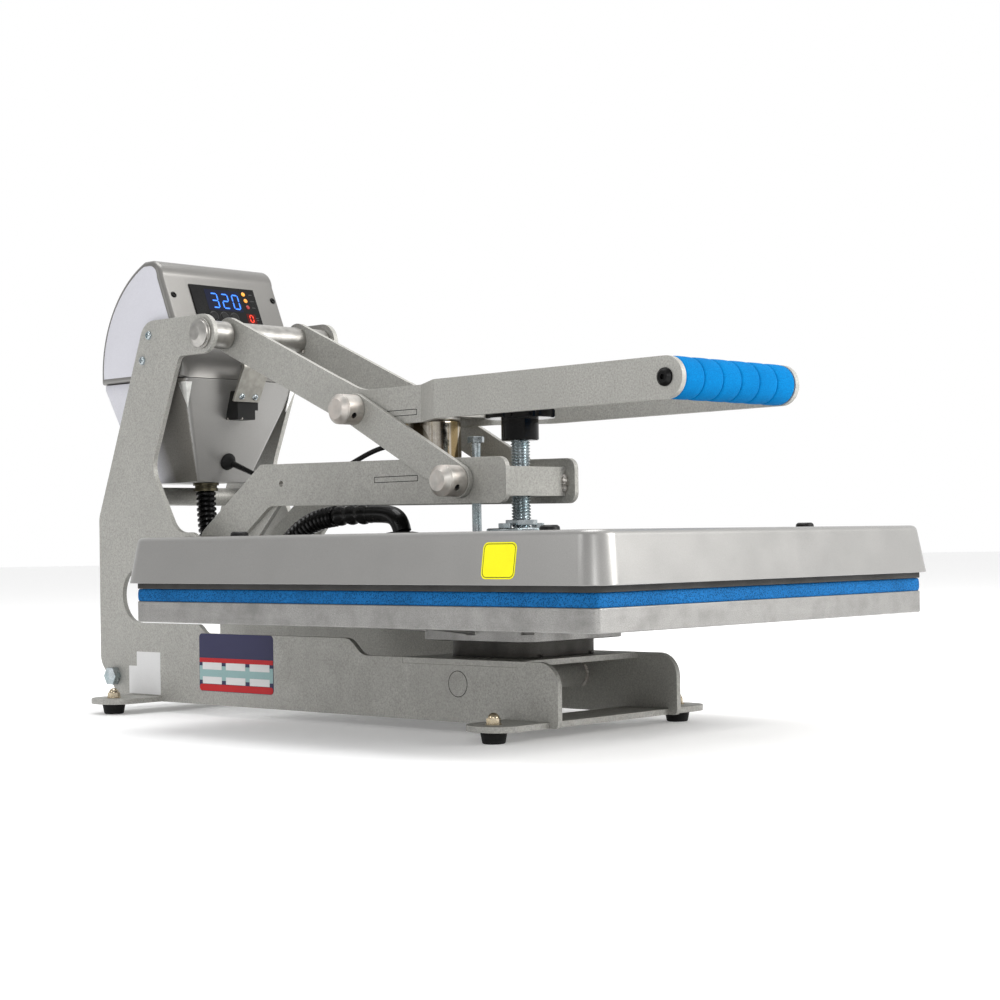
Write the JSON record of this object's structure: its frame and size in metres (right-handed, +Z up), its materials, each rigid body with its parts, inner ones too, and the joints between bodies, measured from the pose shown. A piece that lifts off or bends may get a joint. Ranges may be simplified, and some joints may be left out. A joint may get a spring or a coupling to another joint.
{
  "type": "clamshell heat press",
  "caption": "Clamshell heat press: fixed padded platen, heated platen on a toggle-linked swing arm, hand lever with foam grip, pressure knob, tilted control box and rubber feet.",
  "frame": {"origin": "middle of the footprint, on the bench face under the rubber feet", "axes": "+X to the operator's right, +Y from the operator to the back, +Z up"},
  "size_m": [0.4214, 0.748, 0.4225],
  "materials": {
    "powder_coat": "fine-textured silver-grey powder coat on steel plate",
    "satin_paint": "smooth satin silver paint on sheet steel",
    "cast_aluminium": "as cast, machined rim",
    "cast_dark_heater": "dark coated casting",
    "cast_dark": "dark casting",
    "silicone_blue": "textured silicone sponge",
    "black_rubber": "moulded",
    "zinc": "clear zinc plated",
    "bare_steel": "turned, bare",
    "bright_nickel": "bright nickel plated",
    "magnet_chrome": "chrome plated",
    "black_oxide": "black oxide",
    "brass": "dull olive brass",
    "panel_black": "printed film",
    "black_plastic": "moulded",
    "knob_black": "glossy phenolic",
    "loom_black": "corrugated conduit and smooth sleeve",
    "grip_foam": "bright blue foam",
    "circuit_board": "board with relay"
  },
  "bodies": {
    "frame": {"side_plate_right": "powder_coat", "side_plate_left": "powder_coat", "deck_plate": "powder_coat", "base_cross_bar": "powder_coat", "rear_cross_tube": "powder_coat", "foot_strips": "powder_coat", "rubber_feet": "black_rubber", "foot_nuts": "zinc", "tie_bolt": "zinc", "pedestal": "cast_dark", "lower_platen": "cast_aluminium", "platen_pad": "silicone_blue", "control_shell": "satin_paint", "control_pan": "satin_paint", "display_panel": "panel_black", "control_board": "circuit_board", "switch_bracket": "zinc", "limit_switch": "black_plastic", "zinc_screws": "zinc", "loom_gland": "brass", "cable_grommet": "black_rubber", "mains_inlet": "black_plastic", "top_shaft": "bare_steel", "shaft_spacers": "bare_steel", "arm_pivot_pins": "bare_steel", "heater_loom": "loom_black", "magnet_cable": "loom_black"},
    "lever": {"lever_plate_right": "powder_coat", "lever_plate_left": "powder_coat", "lever_hub": "bare_steel", "striker_bracket": "powder_coat", "striker": "bare_steel", "grip_bar": "bare_steel", "grip": "grip_foam", "grip_bolts": "black_oxide", "upper_pins": "bright_nickel"},
    "toggle": {"toggle_link_right": "powder_coat", "toggle_link_left": "powder_coat", "lower_pins": "bright_nickel"},
    "platen_arm": {"arm_plate_right": "powder_coat", "arm_plate_left": "powder_coat", "arm_doublers": "powder_coat", "magnet_bracket": "powder_coat", "pressure_block": "powder_coat", "electromagnet": "magnet_chrome"},
    "upper_platen": {"heater_plate": "cast_dark_heater", "platen_cover": "satin_paint", "cover_caps": "black_plastic", "screw_flange": "zinc", "flange_bolts": "zinc", "guide_bolt": "zinc", "loom_grommet": "black_rubber", "loom_sleeve": "loom_black"},
    "pressure_knob": {"pressure_screw": "zinc", "jam_nut": "zinc", "pressure_knob": "knob_black"},
    "button_set": {"button_set": "black_plastic"},
    "button_down": {"button_down": "black_plastic"},
    "button_up": {"button_up": "black_plastic"},
    "power_switch": {"power_switch": "black_plastic"}
  },
  "joints": [
    {"name": "lever_lift", "type": "hinge", "parent": "frame", "child": "lever", "pos_m": [0, 0.2106, 0.3465], "axis": [-1, 0, 0], "range_deg": [0, 80]},
    {"name": "arm_lift", "type": "hinge", "parent": "frame", "child": "platen_arm", "pos_m": [0, 0.2326, 0.15], "axis": [-1, 0, 0], "range_deg": [0, 39.71], "deforming": ["heater_loom", "magnet_cable"]},
    {"name": "toggle_swing", "type": "hinge", "parent": "lever", "child": "toggle", "pos_m": [0, 0.0356, 0.2683], "axis": [1, 0, 0], "range_deg": [0, 105.64]},
    {"name": "platen_height", "type": "slide", "parent": "platen_arm", "child": "upper_platen", "axis": [0, 0, 1], "range_m": [0, 0.015], "deforming": ["loom_sleeve"]},
    {"name": "knob_turn", "type": "hinge", "parent": "upper_platen", "child": "pressure_knob", "pos_m": [0, -0.1114, 0.25], "axis": [0, 0, 1], "range_deg": [0, 2160]},
    {"name": "button_set_press", "type": "slide", "parent": "frame", "child": "button_set", "axis": [0, 0.9187, -0.395], "range_m": [0, 0.001], "stiffness_N_per_m": 400, "springref_m": -0.0005},
    {"name": "button_down_press", "type": "slide", "parent": "frame", "child": "button_down", "axis": [0, 0.9187, -0.395], "range_m": [0, 0.001], "stiffness_N_per_m": 400, "springref_m": -0.0005},
    {"name": "button_up_press", "type": "slide", "parent": "frame", "child": "button_up", "axis": [0, 0.9187, -0.395], "range_m": [0, 0.001], "stiffness_N_per_m": 400, "springref_m": -0.0005},
    {"name": "power_rocker", "type": "hinge", "parent": "frame", "child": "power_switch", "pos_m": [-0.0165, 0.37016, 0.26347], "axis": [1, 0, 0], "range_deg": [-4, 4]}
  ],
  "couplings": [
    {"joint": "arm_lift", "follows": "lever_lift", "ratio": 0.49624},
    {"joint": "toggle_swing", "follows": "lever_lift", "ratio": 1.3203},
    {"joint": "knob_turn", "follows": "platen_height", "rad_per_m": 2513.3}
  ]
}
